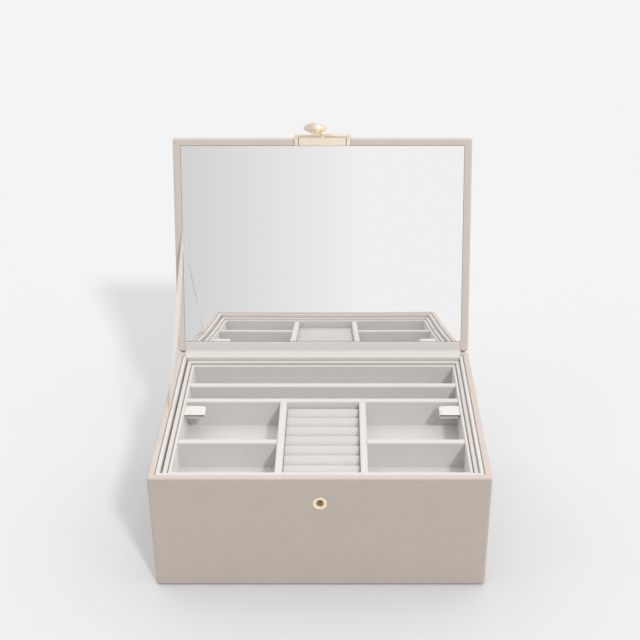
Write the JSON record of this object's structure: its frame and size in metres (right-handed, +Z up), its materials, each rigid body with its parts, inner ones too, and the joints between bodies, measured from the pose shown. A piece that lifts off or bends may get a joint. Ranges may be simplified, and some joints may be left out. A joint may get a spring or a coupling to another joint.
{
  "type": "jewelry box",
  "caption": "Leather-covered jewelry box with a mirrored hinged lid, a ribbon stay, a brass clasp and stacked lift-out velvet trays with dividers and ring rolls.",
  "frame": {"origin": "on the floor under the centre of the case, at the base felt's underside", "axes": "+Z up, +X to the right seen from the front, +Y from the clasp side to the hinge side"},
  "size_m": [0.3, 0.2997, 0.3503],
  "materials": {
    "taupe_leather": "fine-grained taupe leather over board",
    "grey_velvet": "short-napped warm grey velvet over board",
    "beige_velvet": "short-napped beige velvet over board",
    "white_lining_cloth": "off-white lining cloth over board",
    "white_satin_ribbon": "woven off-white satin ribbon",
    "silvered_glass": "flat silvered glass",
    "grey_card": "grey pressed card",
    "dark_felt": "dark felt",
    "pale_gold_plate": "polished pale gold plate"
  },
  "bodies": {
    "case": {"case_front_board": "taupe_leather", "case_back_board": "taupe_leather", "case_left_board": "taupe_leather", "case_right_board": "taupe_leather", "case_base_board": "taupe_leather", "case_front_lining": "white_lining_cloth", "case_back_lining": "white_lining_cloth", "case_left_lining": "white_lining_cloth", "case_right_lining": "white_lining_cloth", "base_felt": "dark_felt", "clasp_socket": "pale_gold_plate", "hinge_lining": "white_lining_cloth", "hinge_spine": "taupe_leather", "lid_stay_ribbon": "white_satin_ribbon"},
    "lid": {"lid_board": "taupe_leather", "lid_front_rail": "taupe_leather", "lid_back_rail": "taupe_leather", "lid_left_rail": "taupe_leather", "lid_right_rail": "taupe_leather", "mirror": "silvered_glass", "mirror_card": "grey_card", "clasp_plate": "pale_gold_plate", "clasp_pin": "pale_gold_plate"},
    "hasp": {"clasp_hasp": "pale_gold_plate", "clasp_button": "pale_gold_plate", "clasp_ball": "pale_gold_plate"},
    "bottom_tray": {"bottom_tray_floor": "beige_velvet", "bottom_tray_front_wall": "beige_velvet", "bottom_tray_back_wall": "beige_velvet", "bottom_tray_left_wall": "beige_velvet", "bottom_tray_right_wall": "beige_velvet", "bottom_tray_long_divider": "grey_velvet", "bottom_tray_cross_divider": "grey_velvet"},
    "middle_tray": {"middle_tray_floor": "grey_velvet", "middle_tray_front_wall": "grey_velvet", "middle_tray_back_wall": "grey_velvet", "middle_tray_left_wall": "grey_velvet", "middle_tray_right_wall": "grey_velvet", "middle_tray_long_divider": "grey_velvet", "middle_tray_cross_divider": "grey_velvet", "middle_tray_left_tab": "white_satin_ribbon", "middle_tray_right_tab": "white_satin_ribbon"},
    "top_tray": {"top_tray_floor": "grey_velvet", "top_tray_front_wall": "grey_velvet", "top_tray_back_wall": "grey_velvet", "top_tray_left_wall": "grey_velvet", "top_tray_right_wall": "grey_velvet", "top_tray_back_divider": "grey_velvet", "top_tray_long_divider": "grey_velvet", "top_tray_left_column": "grey_velvet", "top_tray_right_column": "grey_velvet", "top_tray_left_cross": "grey_velvet", "top_tray_right_cross": "grey_velvet", "ring_rolls": "grey_velvet", "top_tray_left_tab": "white_satin_ribbon", "top_tray_right_tab": "white_satin_ribbon"}
  },
  "joints": [
    {"name": "lid_hinge", "type": "hinge", "parent": "case", "child": "lid", "pos_m": [0, 0.109, 0.12025], "axis": [-1, 0, 0], "range_deg": [-108.3, 0], "deforming": ["hinge_lining", "hinge_spine", "lid_stay_ribbon"]},
    {"name": "clasp_hinge", "type": "hinge", "parent": "lid", "child": "hasp", "pos_m": [0, 0.1787, 0.32892], "axis": [-1, 0, 0], "range_deg": [-5.5, 150]},
    {"name": "bottom_tray_lift", "type": "slide", "parent": "case", "child": "bottom_tray", "axis": [0, 0, 1], "range_m": [0, 0.15]},
    {"name": "middle_tray_lift", "type": "slide", "parent": "bottom_tray", "child": "middle_tray", "axis": [0, 0, 1], "range_m": [0, 0.12]},
    {"name": "top_tray_lift", "type": "slide", "parent": "middle_tray", "child": "top_tray", "axis": [0, 0, 1], "range_m": [0, 0.1]}
  ]
}
